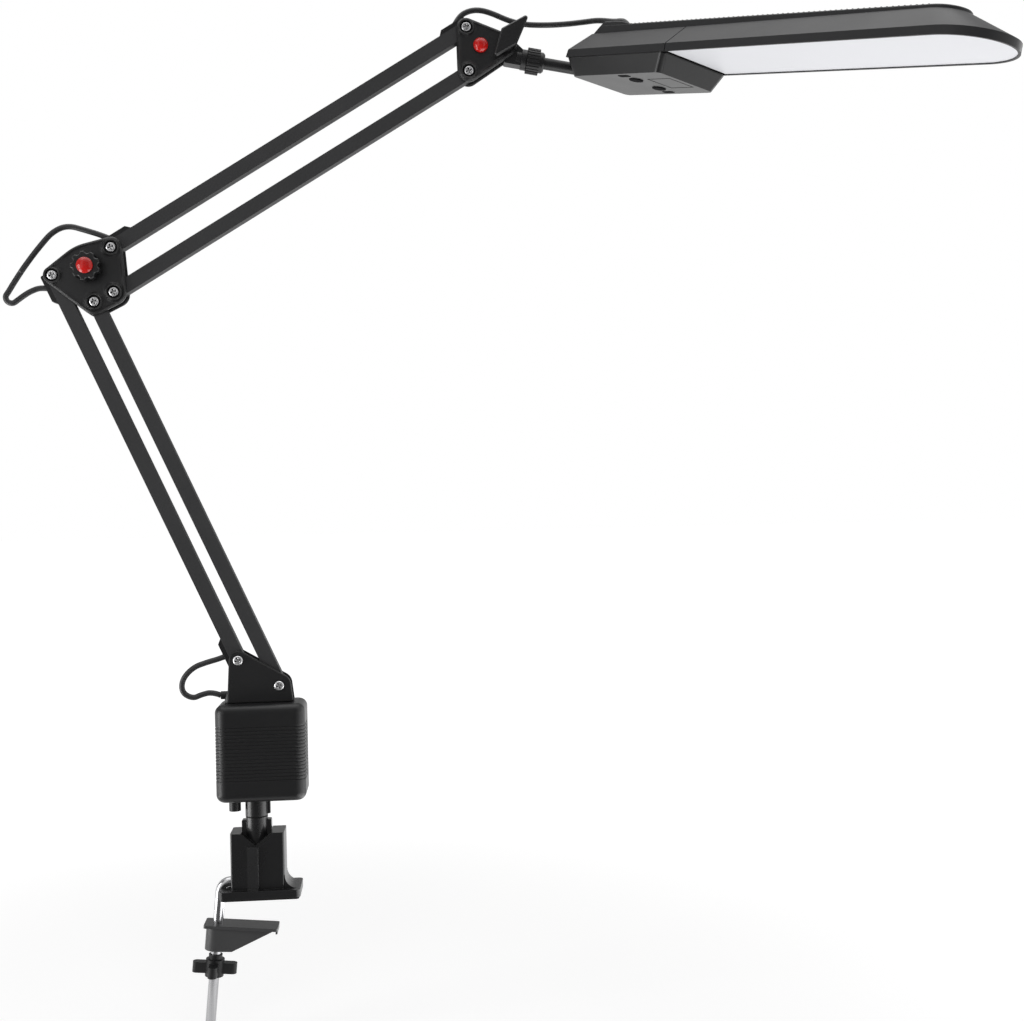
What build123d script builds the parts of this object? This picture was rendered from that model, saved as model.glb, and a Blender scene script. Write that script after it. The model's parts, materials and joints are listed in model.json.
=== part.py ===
"""Clamp-on architect desk lamp with two parallel-bar arms and a long flat shade.

Lengths are in millimetres and angles in degrees. The underside of the clamp lies on Z = 0 with the stem on the
Z axis, the arms move in the plane Y = 0, the head reaches towards +X and the viewer stands on the -Y side.
"""
import os
from math import atan2, cos, hypot, pi, radians, sin, sqrt, tan

from build123d import *

# Clearances
running_fit = 0.08
loose_fit = 0.2
face_gap = 0.3

# Pivot hardware
screw_radius = 2.0
screw_hole_radius = screw_radius + 0.1
screw_head_radius = 4.3
screw_head_height = 2.4
cross_length = 5.4
cross_width = 1.5
cross_depth = 1.6
sleeve_radius = 3.0
nut_radius = 4.1
nut_height = 3.2

# Folded channel bars
bar_width = 12.6
bar_depth = 11.0
bar_wall = 1.2
lower_length = 375.0
upper_length = 373.0

# Pivots and arm directions at rest, in the X-Z plane
lower_pivot = (-12.75, 210.6)
lower_link = (35.6, -23.45)
lower_angle = 114.2
elbow_rise = (50.87, 24.3)
upper_link = (1.75, -39.45)
upper_angle = 31.88

# Moulded plates of elbow and head bracket
plate_inner = bar_depth / 2 + 0.5
plate_thickness = 3.0
plate_outer = plate_inner + plate_thickness
rim_width = 2.2
recess_depth = 0.8
plate_edge = 1.4
boss_radius = 7.4
boss_rise = 1.2
boss_edge = 0.5
seat_radius = 5.8
seat_depth = 2.8
seat_level = plate_outer + boss_rise - seat_depth

# Tension knob on the elbow
elbow_back_offset = (38.67, -12.65)
elbow_back_radius = 42.0
knob_offset = (30.7, 6.3)
knob_radius = 12.8
knob_lobes = 9
knob_lobe_radius = 2.6
knob_hub_radius = 8.5
knob_hub_height = 2.0
knob_height = 9.0
knob_cap_radius = 7.0
knob_cap_height = 4.6
knob_bolt_radius = 3.0
cap_skirt = 0.3

# Head bracket and wing lever
tilt_offset = (35.9, -15.6)
tilt_tip_radius = 10.0
bracket_cap_offset = (12.7, -16.6)
bracket_cap_radius = 6.6
bracket_cap_height = 6.2
lever_stand_off = 7.0
lever_thickness = 4.2
lever_hub_radius = 6.5
lever_corner = 2.0
lever_corners = [(-9.5, -11.2), (7.0, -1.6), (16.8, 20.6), (-3.2, 9.6)]
stud_radius = 3.0
stud_nut_radius = 6.4
stud_nut_height = 5.0

# Knuckle, lock collar and head stem
droop = 9.3227
knuckle_half = plate_inner - face_gap
eye_radius = 8.5
neck_radius = 7.15
neck_drop = 8.15
neck_start = 10.6
neck_heel = 2.0
neck_edge = 2.5
collar_reach = 26.1
socket_radius = 9.15
socket_length = 10.5
collar_radius = 11.5
collar_back = 5.5
collar_front = 6.0
collar_ridges = 24
collar_bore_gap = 1.0
ring_radius = 9.15
ring_length = 4.5
stem_radius = 5.2
stem_length = 67.4
stem_spigot = 8.7
stem_flange_radius = 6.6
stem_flange_length = 2.4
stem_eye_radius = 7.0
stem_eye_height = 8.0
swivel_radius = 3.0
swivel_head_radius = 5.5
swivel_head_height = 2.0

# Head
head_lean = 8.4824
head_turn = 51.3754
pin_inset = 10.0
pin_drop = 5.3
head_length = 408.0
head_half = 42.55
rim_height = 6.5
hood_height = 25.4
hood_top_half = 20.6
hood_tip_setback = 17.0
rear_rake = 6.5
head_wall = 2.0
seam_at = 117.3
seam_width = 1.0
seam_depth = 1.0
ledge_height = 2.8
ledge_depth = 1.5
ledge_width = 3.0
diffuser_thickness = 2.0
spine_half = 19.6
spine_start = 7.0
spine_peak = 15.0
spine_height = 7.5
spine_end_height = 2.8
spine_edge = 0.8
led_board_half = 17.0
led_board_inset = 18.0
board_thickness = 1.6
cover_depth = 15.75
cover_bottom_start = 6.2
cover_bottom_end = 110.1
cover_bottom_half = 36.9
cover_corner = 5.0
cover_wall = 2.2
swivel_reach = 55.0
slot_top = 0.1
button_at = [(65.0, -15.3), (65.0, 15.3)]
button_radius = 6.2
button_flange = 1.2
button_flange_height = 1.0
button_proud = 0.9
button_height = 4.4
slit_at = [(63.8, -29.6), (63.8, 29.6)]
slit_length = 12.0
slit_width = 4.4
access_start = 80.0
access_end = 103.5
access_half = 15.0
access_thickness = 1.3
access_gap = 1.5
switch_board_start = 48.0
switch_board_end = 104.0
switch_board_half = 26.0
switch_board_level = -7.6
post_radius = 3.0
gland_at = 34.0
gland_radius = 4.5
gland_tilt = 48.0
gland_proud = 4.0
gland_sink = 5.0

# Driver box on the stem
box_left = -33.0
box_right = 45.5
box_half = 25.0
box_bottom = 87.0
box_top = 172.5
box_corner = 9.5
box_edge = 7.0
box_wall = 2.4
box_split = 12.0
groove_low = 106.0
groove_pitch = 3.1
groove_count = 16
groove_height = 1.3
groove_depth = 0.7
groove_end = 8.0
latch_level = 123.0
latch_height = 21.0
latch_width = 5.0
latch_depth = 1.2
screw_post_radius = 3.6
shell_screw_radius = 1.5
shell_screw_head = 2.9
shell_screw_head_height = 1.8
shell_screw_length = 22.0
post_inset = 12.0
driver_half_width = 19.0
driver_half_height = 30.0
driver_level = 14.0
driver_stand_offset = 14.0

# Arm bracket on the box
bracket_floor = 2.5
bracket_left = -23.0
bracket_right = 34.9
bracket_front_radius = 10.4
bracket_rear_radius = 8.2
bracket_foot_radius = 1.5
bracket_bolt_at = [-2.0, 21.0]

# Stem post and clamp
post_bore_bottom = 22.0
post_shaft_radius = 6.0
post_collar_radius = 10.0
post_collar_bottom = 71.0
post_collar_edge = 0.5
tab_reach = 12.2
tab_half = 3.0
tab_bottom = 73.0
tab_top = 84.0
post_thread_top = 100.0
post_nut_radius = 11.0
post_nut_height = 7.0
socket_tube_radius = 9.8
socket_tube_top = 70.6
wing_half = 13.0
wing_slab_half = 4.0
wing_bottom = 55.0
wing_top = 68.0
wing_corner = 1.0
notch_bottom = 47.0
clamp_left = -22.5
clamp_right = 24.7
clamp_half = 14.0
clamp_top = 58.0
foot_left = -32.2
foot_right = 38.3
foot_half = 20.0
foot_top = 8.5
foot_corner = 4.0
flare_reach = 11.3
pad_thickness = 1.6
pad_inset = 1.2
rib_left = -8.0
rib_right = 1.8
rib_proud = 2.6
rod_slot_right = -22.7
rod_slot_half = 5.0

# Clamp rod, jaw and star nut
rod_radius = 4.5
rod_lean = 5.5
rod_level = 13.0
rod_corner = -32.47
rod_bend = 9.0
rod_end = -126.0
hook_radius = 4.0
hook_end = -16.5
hook_hole_radius = 5.3
hook_hole_depth = 8.0
jaw_drop = 36.0
jaw_half = 12.0
jaw_back = 11.4
jaw_reach = 53.4
jaw_depth = 23.2
jaw_flange = 2.6
jaw_heel = 14.5
jaw_hub_radius = 10.0
jaw_tip_at = 47.5
jaw_tip_radius = 4.0
jaw_lip = 1.6
nut_gap = 4.7
nut_neck_radius = 6.0
nut_neck_length = 4.2
nut_hub_radius = 8.2
nut_hub_length = 15.0
nut_arms = 4
nut_arm_reach = 19.5
nut_arm_radius = 4.0
nut_arm_height = 9.4

# Cord and cable clips
cord_radius = 2.5
bend_share = 0.45
clip_half = bar_depth / 2 - bar_wall
clip_length = 24.0
clip_height = 10.5
clip_seat = 3.8
clip_step = 4.5
clip_bottom = -0.5
clip_overhang = 4.0
clip_slope = 4.0
run_level = 2.6
run_sway = 0.6
run_step = 52.0
run_gap = 0.08
socket_gap = 0.5
socket_reach = 2.2
mains_at = -19.0
mains_radius = 5.2
mains_drop = 11.0
base_gland_at = -21.8
base_gland_radius = 4.3
base_gland_height = 9.5
nozzle_radius = 3.6
nozzle_reach = 7.5
nozzle_level = 6.6
cord_over_head = 41.6
cord_dip = 7.0

on_base = (Align.CENTER, Align.CENTER, Align.MIN)


def shift(point, offset):
    """The X-Z point moved by an X-Z offset."""
    return point[0] + offset[0], point[1] + offset[1]


def along(angle, length):
    """The X-Z offset of a length at an angle from +X."""
    return length * cos(radians(angle)), length * sin(radians(angle))


def side_plane(point, angle=0.0):
    """A plane in the arm plane: local x at the angle, local y to its left, local z towards the viewer."""
    dx, dz = along(angle, 1.0)
    return Plane(origin=(point[0], 0, point[1]), x_dir=(dx, 0, dz), z_dir=(0, -1, 0))


def rod(radius, low, high, x=0.0, y=0.0):
    """A round bar along local z."""
    return Pos(x, y, low) * Cylinder(radius, high - low, align=on_base)


def slab(x0, x1, y0, y1, z0, z1):
    """A box between bounds."""
    return Pos((x0 + x1) / 2, (y0 + y1) / 2, (z0 + z1) / 2) * Box(x1 - x0, y1 - y0, z1 - z0)


def prism(points, low, high):
    """A polygon raised along local z."""
    return extrude(Pos(0, 0, low) * Polygon(*points, align=None), high - low)


def hexagon(radius, bore, low, high, x=0.0, y=0.0):
    """A nut along local z."""
    ring = RegularPolygon(radius, 6) - Circle(bore)
    return extrude(Pos(x, y, low) * ring, high - low)


def hull_face(circles):
    """The face wrapped around circles (x, y, radius) that are listed counter-clockwise."""
    normals = []
    for (x1, y1, r1), (x2, y2, r2) in zip(circles, circles[1:] + circles[:1]):
        span = hypot(x2 - x1, y2 - y1)
        dx, dy = (x2 - x1) / span, (y2 - y1) / span
        lean = (r1 - r2) / span
        across = sqrt(1 - lean**2)
        normals.append((dy * across + dx * lean, -dx * across + dy * lean))
    edges = []
    for number, (x, y, r) in enumerate(circles):
        before, after = normals[number - 1], normals[number]
        opening = atan2(before[1], before[0])
        sweep_angle = (atan2(after[1], after[0]) - opening) % (2 * pi)
        middle = opening + sweep_angle / 2
        start = x + r * before[0], y + r * before[1]
        crown = x + r * cos(middle), y + r * sin(middle)
        finish = x + r * after[0], y + r * after[1]
        nx, ny, nr = circles[(number + 1) % len(circles)]
        edges.append(ThreePointArc(start, crown, finish))
        edges.append(Line(finish, (nx + nr * after[0], ny + nr * after[1])))
    return make_face(edges)


def group(shapes):
    """Separate solids exported as one node."""
    return Compound([solid for shape in shapes for solid in shape.solids()])


def dome(radius, low, height):
    """A cap with a short round skirt and a crowned top, along local z."""
    crown = height * (1 - cap_skirt)
    ball = (radius**2 + crown**2) / (2 * crown)
    return rod(radius, low, low + height) & Pos(0, 0, low + height - ball) * Sphere(ball)


def pivot_screw(seat, tail):
    """A pan-head screw along local z with its head on the level seat."""
    head = fillet(rod(screw_head_radius, seat, seat + screw_head_height).edges().sort_by(Axis.Z)[-1], 1.2)
    top = seat + screw_head_height
    for turn in (0, 90):
        arm = Box(cross_length, cross_width, 2 * cross_depth)
        head -= Pos(0, 0, top) * Rot(0, 0, turn + 20) * arm
    return head + rod(screw_radius, tail, seat)


def pivot_stacks(points, seat):
    """Screws with their nuts, and sleeves, for pivots between two plates."""
    tail = -seat - nut_height - 1.0
    screw = pivot_screw(seat, tail)
    sleeve = rod(sleeve_radius, -plate_inner, plate_inner) - rod(screw_hole_radius, -plate_inner, plate_inner)
    nut = hexagon(nut_radius, screw_radius + 0.03, -seat - nut_height, -seat)
    places = [side_plane(point).location for point in points]
    screws = group([place * piece for place in places for piece in (screw, nut)])
    return screws, group([place * sleeve for place in places])


def moulded_plate(circles, bosses, holes):
    """A front plate around circles with a raised rim, ring bosses and holes, lying on local z = plate_inner."""
    level = plate_inner
    plate = extrude(Pos(0, 0, level) * hull_face(circles), plate_thickness)
    plate = chamfer(plate.faces().sort_by(Axis.Z)[-1].edges(), plate_edge)
    floor = plate_thickness - recess_depth
    inside = hull_face([(x, y, radius - rim_width) for x, y, radius in circles])
    hollow = extrude(Pos(0, 0, level + floor) * inside, recess_depth)
    for x, y in bosses:
        hollow -= rod(boss_radius, level, level + 2 * plate_thickness, x, y)
    plate -= hollow
    for x, y in bosses:
        boss = rod(boss_radius, level, plate_outer + boss_rise, x, y)
        plate += chamfer(boss.edges().group_by(Axis.Z)[-1], boss_edge)
    for x, y in bosses:
        plate -= rod(seat_radius, seat_level, plate_outer + 2 * boss_rise, x, y)
        plate -= rod(screw_hole_radius, 0, plate_outer + 1, x, y)
    for x, y, radius in holes:
        plate -= rod(radius, 0, plate_outer + 1, x, y)
    return plate


def channel_bar(length):
    """A folded bar from pivot to pivot along local x, open towards local +y."""
    side = Pos(length / 2, 0) * SlotCenterToCenter(length, bar_width)
    bar = extrude(side, bar_depth / 2, both=True)
    inner = bar_depth / 2 - bar_wall
    bar -= slab(-bar_width, length + bar_width, bar_wall - bar_width / 2, bar_width, -inner, inner)
    for x in (0, length):
        bar -= rod(sleeve_radius + running_fit, -bar_depth, bar_depth, x)
    return bar


def cable_clips(length):
    """The pair of clips that close the open side of a channel bar at its ends."""
    profile = [
        (-clip_overhang, clip_seat),
        (clip_step, clip_seat),
        (clip_step, clip_bottom),
        (clip_length, clip_bottom),
        (clip_length, clip_height - clip_slope),
        (clip_length - clip_slope, clip_height),
        (-clip_overhang + 1, clip_height),
        (-clip_overhang, clip_height - 1),
    ]
    clip = prism(profile, -clip_half, clip_half)
    return [clip, Pos(length, 0, 0) * mirror(clip, Plane.YZ)]


def bend_radii(points):
    """The bend radius at each inner corner of a cord route."""
    radii = []
    for before, corner, after in zip(points, points[1:], points[2:]):
        arriving = Vector(*corner) - Vector(*before)
        leaving = Vector(*after) - Vector(*corner)
        turn = radians(arriving.get_angle(leaving))
        radii.append(bend_share * min(arriving.length, leaving.length) / tan(turn / 2))
    return radii


def tube(name, points):
    """A round cord along straight runs joined by tangent arcs."""
    radii = bend_radii(points)
    path = FilletPolyline(*points, radius=radii)
    section = Plane(origin=path @ 0, z_dir=path % 0) * Circle(cord_radius)
    cord = sweep(section, path)
    share = cord.volume / (pi * cord_radius**2 * path.length)
    print(f"{name}: radii {[round(r, 1) for r in radii]}, volume share {share:.4f}")
    return cord


def channel_run(name, plane, length):
    """The hidden cord inside a channel bar, swaying slightly between the two clips."""
    start, finish = clip_length + run_gap, length - clip_length - run_gap
    steps = round((finish - start) / run_step)
    points = []
    for step in range(steps + 1):
        sway = run_sway if step % 2 else -run_sway
        points.append((start + (finish - start) * step / steps, run_level + sway, 0))
    return plane.location * tube(name, points)


def rounded_block(inset):
    """The driver box outline, shrunk by an inset on every side."""
    block = slab(
        box_left + inset,
        box_right - inset,
        inset - box_half,
        box_half - inset,
        box_bottom + inset,
        box_top - inset,
    )
    block = fillet(block.edges().filter_by(Axis.Z), box_corner - inset)
    ends = block.faces().filter_by(Axis.Z).edges()
    return fillet(ends, max(box_edge - inset, 0.6))


# Pivot points
lower_front = shift(lower_pivot, lower_link)
elbow_rear = shift(lower_pivot, along(lower_angle, lower_length))
elbow_front = shift(elbow_rear, lower_link)
elbow_top = shift(elbow_rear, elbow_rise)
elbow_bottom = shift(elbow_top, upper_link)
head_top = shift(elbow_top, along(upper_angle, upper_length))
head_bottom = shift(head_top, upper_link)
knob_centre = shift(elbow_rear, knob_offset)
elbow_back = shift(elbow_rear, elbow_back_offset)
tilt = shift(head_top, tilt_offset)
cap_centre = shift(head_top, bracket_cap_offset)
lower_plane = side_plane(lower_pivot, lower_angle)
upper_plane = side_plane(elbow_top, upper_angle)
arm_plane = side_plane((0, 0))

pieces = {}

# Clamp body
foot = slab(foot_left, foot_right, -foot_half, foot_half, pad_thickness, foot_top)
foot = fillet(foot.edges().filter_by(Axis.Z), foot_corner)
flank = Line((clamp_right, pad_thickness), (clamp_right + flare_reach, pad_thickness))
flare_edges = [
    flank,
    Line(flank @ 1, (clamp_right + flare_reach, foot_top)),
    TangentArc(
        (clamp_right + flare_reach, foot_top),
        (clamp_right, foot_top + flare_reach),
        tangent=(-1, 0),
    ),
    Line((clamp_right, foot_top + flare_reach), (clamp_right, pad_thickness)),
]
flare = extrude(make_face(flare_edges), clamp_half, both=True)
core = slab(clamp_left, clamp_right, -clamp_half, clamp_half, pad_thickness, clamp_top)
core = fillet(core.edges().filter_by(Axis.Z), 2.0)
notch = prism([(-wing_half, clamp_top), (0, notch_bottom), (wing_half, clamp_top)], wing_slab_half, 2 * clamp_half)
core -= arm_plane.location * notch
core -= arm_plane.location * mirror(notch, Plane.XY)
wings = slab(-wing_half, wing_half, -wing_slab_half, wing_slab_half, wing_bottom, wing_top)
wings = fillet(wings.edges().filter_by(Axis.Y).group_by(Axis.Z)[-1], wing_corner)
rib_plan = [(rib_left, -clamp_half), (rib_right, -clamp_half - rib_proud), (rib_right, 0), (rib_left, 0)]
rib = prism(rib_plan, foot_top, notch_bottom - 1)
clamp = foot + core + arm_plane.location * flare + wings + rib + rod(socket_tube_radius, notch_bottom, socket_tube_top)
clamp -= rod(post_shaft_radius + running_fit, post_bore_bottom, socket_tube_top + 1)
clamp -= slab(foot_left - 1, rod_slot_right, -rod_slot_half, rod_slot_half, 0, foot_top + 1)
hook_plane = Plane(origin=(clamp_left, 0, rod_level), z_dir=(1, 0, 0))
clamp -= hook_plane.location * rod(hook_hole_radius, -1, hook_hole_depth)
pieces["clamp_body"] = clamp

pad = slab(foot_left + pad_inset, foot_right - pad_inset, pad_inset - foot_half, foot_half - pad_inset, 0, pad_thickness)
pad = fillet(pad.edges().filter_by(Axis.Z), foot_corner - pad_inset)
pad -= slab(foot_left - 1, rod_slot_right, -rod_slot_half, rod_slot_half, -1, foot_top)
pieces["clamp_pad"] = pad

# Clamp rod with its hook
rod_run = (rod_level - rod_end) * tan(radians(rod_lean))
rod_path = FilletPolyline(
    (clamp_left - 0.5, 0, rod_level),
    (rod_corner, 0, rod_level),
    (rod_corner - rod_run, 0, rod_end),
    radius=[rod_bend],
)
rod_section = Plane(origin=rod_path @ 0, z_dir=rod_path % 0) * Circle(rod_radius)
hook = hook_plane.location * rod(hook_radius, -1, hook_end - clamp_left)
pieces["clamp_rod"] = sweep(rod_section, rod_path) + hook

# Sliding jaw on the rod
jaw_top = (rod_corner - jaw_drop * sin(radians(rod_lean)), rod_level - jaw_drop * cos(radians(rod_lean)))
down_rod = Plane(
    origin=(jaw_top[0], 0, jaw_top[1]),
    x_dir=(cos(radians(rod_lean)), 0, -sin(radians(rod_lean))),
    z_dir=(sin(radians(rod_lean)), 0, cos(radians(rod_lean))),
)
flange = slab(-jaw_back, jaw_reach, -jaw_half, jaw_half, -jaw_flange, 0)
flange = fillet(flange.edges().filter_by(Axis.Z), 2.0)
jaw_plan = hull_face([(0, 0, jaw_hub_radius), (jaw_tip_at, 0, jaw_tip_radius)])
web = extrude(Pos(0, 0, -jaw_depth) * jaw_plan, jaw_depth)
below = [
    (jaw_heel, -2 * jaw_depth),
    (jaw_reach, -2 * jaw_depth),
    (jaw_reach, -jaw_flange),
    (jaw_heel, -jaw_depth),
]
web -= arm_plane.location * prism(below, -jaw_half, jaw_half)
lip = slab(jaw_reach - jaw_lip, jaw_reach, -jaw_half + 2, jaw_half - 2, -2 * jaw_flange, -jaw_flange / 2)
jaw = flange + web + lip
jaw -= rod(rod_radius + running_fit, -2 * jaw_depth, jaw_depth)
jaw = down_rod.location * jaw
pieces["clamp_jaw"] = jaw

# Star nut under the jaw
nut_top = -jaw_depth - nut_gap
hub_top = nut_top - nut_neck_length
hub_bottom = hub_top - nut_hub_length
arm_low = (hub_top + hub_bottom - nut_arm_height) / 2
clamp_nut = rod(nut_neck_radius, hub_top, nut_top) + rod(nut_hub_radius, hub_bottom, hub_top)
nut_arm = hull_face([(0, 0, nut_arm_radius), (nut_arm_reach - nut_arm_radius, 0, nut_arm_radius)])
for number in range(nut_arms):
    clamp_nut += Rot(0, 0, 360 / nut_arms * number) * extrude(Pos(0, 0, arm_low) * nut_arm, nut_arm_height)
clamp_nut -= rod(rod_radius + running_fit, hub_bottom - 1, nut_top + 1)
pieces["clamp_nut"] = down_rod.location * clamp_nut

# Swivel stem under the driver box
post = rod(post_shaft_radius, post_bore_bottom + face_gap, post_thread_top)
post_collar = rod(post_collar_radius, post_collar_bottom, box_bottom)
post += chamfer(post_collar.edges().group_by(Axis.Z)[0], post_collar_edge)
post += slab(0, tab_reach, -tab_half, tab_half, tab_bottom, tab_top)
pieces["base_stem"] = post
stem_nut_low = box_bottom + box_wall
stem_nut = hexagon(post_nut_radius, post_shaft_radius + 0.03, stem_nut_low, stem_nut_low + post_nut_height)

# Driver box shells
box_middle = (box_left + box_right) / 2
box_level = (box_bottom + box_top) / 2
outer = rounded_block(0)
shell = outer - rounded_block(box_wall)
post_points = [
    (x, z)
    for x in (box_left + post_inset, box_right - post_inset)
    for z in (box_bottom + post_inset, box_top - post_inset)
]
bolt_hole = screw_radius + 0.1
openings = [
    rod(post_shaft_radius + loose_fit, box_bottom - 1, box_bottom + 2 * box_wall),
    rod(mains_radius - 1 + 0.05, box_bottom - 1, box_bottom + 2 * box_wall, mains_at),
    rod(base_gland_radius - 1 + 0.05, box_top - 2 * box_wall, box_top + 1, base_gland_at),
]
openings += [rod(bolt_hole, box_top - 2 * box_wall, box_top + 1, x) for x in bracket_bolt_at]
for opening in openings:
    shell -= opening
ahead = slab(box_left - 1, box_right + 1, -2 * box_half, box_split, box_bottom - 1, box_top + 1)
front_shell = shell & ahead
rear_shell = shell - ahead
skin = outer - rounded_block(groove_depth)
for number in range(groove_count):
    level = groove_low + number * groove_pitch
    band = slab(box_left - 1, box_right + 1, -2 * box_half, groove_end, level, level + groove_height)
    front_shell -= skin & band
for x, z in post_points:
    front_post = side_plane((x, z)).location * rod(screw_post_radius, -box_split, box_half - box_wall)
    pilot = side_plane((x, z)).location * rod(shell_screw_radius + 0.03, -box_half, 0)
    front_shell = front_shell + front_post - pilot
    rear_post = side_plane((x, z)).location * rod(screw_post_radius, box_wall - box_half, -box_split)
    passage = side_plane((x, z)).location * rod(shell_screw_radius + 0.1, -2 * box_half, 0)
    sink = side_plane((x, z)).location * rod(shell_screw_head + 0.2, -2 * box_half, shell_screw_head_height - box_half)
    rear_shell = rear_shell + rear_post - passage - sink
for side in (-1, 1):
    stand = side_plane((box_middle + side * driver_stand_offset, box_level)).location
    rear_shell += stand * rod(screw_post_radius, box_wall - box_half, -driver_level)
latch_plane = Plane(origin=(box_right, (box_split + box_half) / 2 - 1, latch_level), x_dir=(0, 0, 1), z_dir=(1, 0, 0))
latch = extrude(Ellipse(latch_height / 2, latch_width / 2), latch_depth, both=True)
rear_shell -= latch_plane.location * latch
pieces["box_front_shell"] = front_shell
pieces["box_rear_shell"] = rear_shell

shell_screw = rod(shell_screw_radius, shell_screw_head_height - box_half, shell_screw_head_height - box_half + shell_screw_length)
shell_screw += rod(shell_screw_head, -box_half, shell_screw_head_height - box_half)
for turn in (0, 90):
    shell_screw -= Pos(0, 0, -box_half) * Rot(0, 0, turn) * Box(cross_length * 0.7, cross_width * 0.8, cross_depth)
fixings = [stem_nut] + [side_plane(point).location * shell_screw for point in post_points]

# Driver board and components
driver_plane = side_plane((box_middle, box_level))
board = slab(
    -driver_half_width,
    driver_half_width,
    -driver_half_height,
    driver_half_height,
    -driver_level,
    board_thickness - driver_level,
)
board_face = board_thickness - driver_level
components = [
    slab(-13, 11, -6, 16, board_face, board_face + 17),
    rod(5.5, board_face, board_face + 19, -10, -18),
    rod(4.0, board_face, board_face + 14, 3, -18),
    slab(9, 16, -26, -10, board_face, board_face + 9),
    slab(-15, 15, 20, 27, board_face, board_face + 10),
]
pieces["driver_board"] = group([driver_plane.location * item for item in [board] + components])

# Arm bracket on the box
foot_level = box_top + bracket_foot_radius
cheek_face = hull_face([
    (lower_pivot[0], lower_pivot[1], bracket_rear_radius),
    (bracket_left + bracket_foot_radius, foot_level, bracket_foot_radius),
    (bracket_right - bracket_foot_radius, foot_level, bracket_foot_radius),
    (lower_front[0], lower_front[1], bracket_front_radius),
])
cheek = extrude(Pos(0, 0, plate_inner) * cheek_face, plate_thickness)
for x, z in (lower_pivot, lower_front):
    cheek -= rod(screw_hole_radius, 0, plate_outer + 1, x, z)
cheek = chamfer(cheek.faces().sort_by(Axis.Z)[-1].edges(), 0.8)
bracket = arm_plane.location * cheek
bracket += mirror(bracket, Plane.XZ)
bracket += slab(
    base_gland_at + base_gland_radius + face_gap,
    bracket_right - bracket_foot_radius,
    -plate_inner - 1,
    plate_inner + 1,
    box_top,
    box_top + bracket_floor,
)
for x in bracket_bolt_at:
    bracket -= rod(bolt_hole, box_top - 1, box_top + 2 * bracket_floor, x)
pieces["base_bracket"] = bracket

bolt_seat = box_top + bracket_floor
bolt_tail = box_top - box_wall - nut_height - 1
bolt = pivot_screw(bolt_seat, bolt_tail)
bolt_nut = hexagon(nut_radius, screw_radius + 0.03, box_top - box_wall - nut_height, box_top - box_wall)
fixings += [Pos(x, 0, 0) * item for x in bracket_bolt_at for item in (bolt, bolt_nut)]
pieces["box_fixings"] = group(fixings)

pieces["base_screws"], pieces["base_sleeves"] = pivot_stacks([lower_pivot, lower_front], plate_outer)

# Cord glands of the box
mains = rod(mains_radius, box_bottom - mains_drop, box_bottom, mains_at)
mains += rod(mains_radius - 1, box_bottom, box_bottom + box_wall + 2, mains_at)
mains -= rod(cord_radius + 0.2, box_bottom - mains_drop - 1, box_bottom + 2 * box_wall + 2, mains_at)
pieces["mains_gland"] = mains
gland_top = box_top + base_gland_height
base_gland = fillet(rod(base_gland_radius, box_top, gland_top, base_gland_at).edges().group_by(Axis.Z)[-1], 2.5)
base_gland += rod(base_gland_radius - 1, box_top - box_wall - 2, box_top, base_gland_at)
nozzle_plane = Plane(origin=(base_gland_at, 0, box_top + nozzle_level), z_dir=(-1, 0, 0))
base_gland += nozzle_plane.location * rod(nozzle_radius, 0, nozzle_reach)
pieces["base_cord_gland"] = base_gland

# Lower arm
pieces["lower_rear_bar"] = lower_plane.location * channel_bar(lower_length)
pieces["lower_front_bar"] = side_plane(lower_front, lower_angle).location * channel_bar(lower_length)
pieces["cord_lower_run"] = channel_run("cord_lower_run", lower_plane, lower_length)

# Elbow plates and hardware
elbow_points = [elbow_rear, elbow_front, elbow_top, elbow_bottom]
elbow_circles = [
    (*elbow_rear, 8.0),
    (*elbow_front, 11.5),
    (*elbow_bottom, 11.0),
    (*elbow_top, 9.5),
    (*elbow_back, elbow_back_radius),
]
front_plate = moulded_plate(elbow_circles, elbow_points, [(*knob_centre, knob_bolt_radius + running_fit)])
front_plate = arm_plane.location * front_plate
pieces["elbow_front_plate"] = front_plate
pieces["elbow_rear_plate"] = mirror(front_plate, Plane.XZ)
pieces["elbow_screws"], pieces["elbow_sleeves"] = pivot_stacks(elbow_points, seat_level)
knob_low = plate_outer + face_gap
knob_disc = knob_low + knob_hub_height
knob_top = knob_disc + knob_height
knob_plane = side_plane(knob_centre)
bolt_head = hexagon(stud_nut_radius, 0.5, -plate_outer - stud_nut_height, -plate_outer)
tension_bolt = rod(knob_bolt_radius, -plate_outer - stud_nut_height, knob_top - 2) + bolt_head
pieces["elbow_bolt"] = knob_plane.location * tension_bolt

# Tension knob and its red cap
knob_edge = Circle(knob_radius)
for number in range(knob_lobes):
    dx, dy = along(360 / knob_lobes * number, knob_radius + 0.6)
    knob_edge -= Pos(dx, dy) * Circle(knob_lobe_radius)
knob = extrude(Pos(0, 0, knob_disc) * knob_edge, knob_height)
knob = chamfer(knob.faces().sort_by(Axis.Z)[-1].edges(), 0.8)
knob += rod(knob_hub_radius, knob_low, knob_disc)
knob -= rod(knob_bolt_radius + running_fit, knob_low - 1, knob_top - 2 + face_gap)
pieces["elbow_knob"] = knob_plane.location * knob
pieces["elbow_knob_cap"] = knob_plane.location * dome(knob_cap_radius, knob_top, knob_cap_height)

# Upper arm
pieces["upper_top_bar"] = upper_plane.location * channel_bar(upper_length)
pieces["upper_bottom_bar"] = side_plane(elbow_bottom, upper_angle).location * channel_bar(upper_length)
pieces["cord_upper_run"] = channel_run("cord_upper_run", upper_plane, upper_length)

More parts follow.
